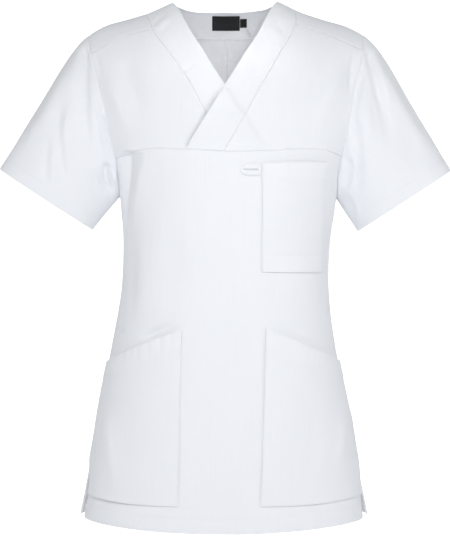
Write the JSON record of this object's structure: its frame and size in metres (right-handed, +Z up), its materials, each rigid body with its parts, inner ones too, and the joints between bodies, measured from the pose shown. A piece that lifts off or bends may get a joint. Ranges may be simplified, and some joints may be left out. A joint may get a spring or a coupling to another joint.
{
  "type": "work tunic",
  "caption": "Short-sleeved V-neck work tunic with a crossover front, fitted waist, chest and hip patch pockets, side vents and a pen loop, filled out as if worn",
  "frame": {"origin": "midway between the two high shoulder points, at their height, where the tunic hangs on the wearer's shoulders", "axes": "+Z up along the body, -Y the way the front faces, +X the wearer's left"},
  "size_m": [0.6325, 0.247, 0.7271],
  "materials": {
    "white_twill": "matt fine-ribbed white twill",
    "label_tape": "black satin-woven tape"
  },
  "bodies": {
    "root": {"front_body": "white_twill", "upper_front_left": "white_twill", "upper_front_right": "white_twill", "neckband_left": "white_twill", "neckband_right": "white_twill", "back_upper_left": "white_twill", "back_upper_right": "white_twill", "back_skirt_left": "white_twill", "back_skirt_right": "white_twill", "sleeve_left": "white_twill", "sleeve_right": "white_twill", "hip_pocket_left": "white_twill", "hip_pocket_right": "white_twill", "chest_pocket": "white_twill", "pen_loop": "white_twill", "neck_label": "label_tape", "size_tab": "label_tape"}
  },
  "joints": []
}
